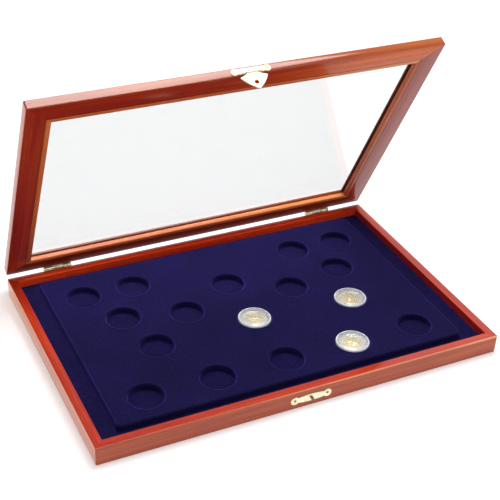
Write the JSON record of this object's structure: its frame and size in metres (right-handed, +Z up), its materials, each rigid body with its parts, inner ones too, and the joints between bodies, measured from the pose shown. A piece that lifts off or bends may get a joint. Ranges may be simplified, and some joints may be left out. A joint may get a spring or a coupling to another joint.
{
  "type": "coin display case",
  "caption": "Low stained-wood display case with a hinged glass lid, a brass hasp and a flocked tray of round pockets for coins in clear capsules.",
  "frame": {"origin": "centre of the case's underside, on the surface it stands on", "axes": "+X to the right along the long side, -Y to the front where the catch is, +Y to the hinges, +Z up; the lid is stored open 63.2 degrees"},
  "size_m": [0.4, 0.2762, 0.2601],
  "materials": {
    "stained_wood": "red-brown stained hardwood under a satin-gloss lacquer, fine grain along each rail",
    "bead_wood": "lighter red-brown glazing bead, satin lacquer",
    "bottom_board": "thin hardboard, bare",
    "base_felt": "short-pile dark blue felt",
    "backing_board": "grey packing board under the tray",
    "flocked_sheet": "deep blue flock on a vacuum-formed plastic sheet",
    "clear_glass": "clear 2 mm float glass",
    "brass": "pale yellow stamped brass, bright, slightly uneven",
    "clear_plastic": "clear moulded acrylic, polished",
    "nickel_silver": "struck nickel-silver coin metal",
    "coin_brass": "struck yellow coin metal"
  },
  "bodies": {
    "case": {"base_front_rail": "stained_wood", "base_right_rail": "stained_wood", "base_back_rail": "stained_wood", "base_left_rail": "stained_wood", "base_bottom_panel": "bottom_board", "base_felt_pad": "base_felt", "tray_backing": "backing_board", "coin_tray": "flocked_sheet", "catch_plate": "brass", "catch_knob": "brass", "catch_nails": "brass", "hinge_left_base_leaf": "brass", "hinge_left_pin": "brass", "hinge_left_base_screws": "brass", "hinge_right_base_leaf": "brass", "hinge_right_pin": "brass", "hinge_right_base_screws": "brass"},
    "lid": {"lid_front_rail": "stained_wood", "lid_right_rail": "stained_wood", "lid_back_rail": "stained_wood", "lid_left_rail": "stained_wood", "bead_front_rail": "bead_wood", "bead_right_rail": "bead_wood", "bead_back_rail": "bead_wood", "bead_left_rail": "bead_wood", "glass_pane": "clear_glass", "hasp_plate": "brass", "hasp_pin": "brass", "hasp_nails": "brass", "hinge_left_lid_leaf": "brass", "hinge_right_lid_leaf": "brass", "hinge_left_lid_screws": "brass", "hinge_right_lid_screws": "brass"},
    "hasp_flap_body": {"hasp_flap": "brass"},
    "capsule_1": {"capsule_1_bottom": "clear_plastic", "capsule_1_top": "clear_plastic", "coin_1_ring": "nickel_silver", "coin_1_core": "coin_brass"},
    "capsule_2": {"capsule_2_bottom": "clear_plastic", "capsule_2_top": "clear_plastic", "coin_2_ring": "nickel_silver", "coin_2_core": "coin_brass"},
    "capsule_3": {"capsule_3_bottom": "clear_plastic", "capsule_3_top": "clear_plastic", "coin_3_ring": "nickel_silver", "coin_3_core": "coin_brass"}
  },
  "joints": [
    {"name": "lid_hinge", "type": "hinge", "parent": "case", "child": "lid", "pos_m": [0, 0.1344, 0.0184], "axis": [-1, 0, 0], "range_deg": [-63.2, 41.8]},
    {"name": "hasp_hinge", "type": "hinge", "parent": "lid", "child": "hasp_flap_body", "pos_m": [0, 0.01551, 0.25776], "axis": [-1, 0, 0], "range_deg": [0, 120]},
    {"name": "capsule_1_lift", "type": "slide", "parent": "case", "child": "capsule_1", "axis": [0, 0, 1], "range_m": [0, 0.006]},
    {"name": "capsule_2_lift", "type": "slide", "parent": "case", "child": "capsule_2", "axis": [0, 0, 1], "range_m": [0, 0.006]},
    {"name": "capsule_3_lift", "type": "slide", "parent": "case", "child": "capsule_3", "axis": [0, 0, 1], "range_m": [0, 0.006]}
  ]
}
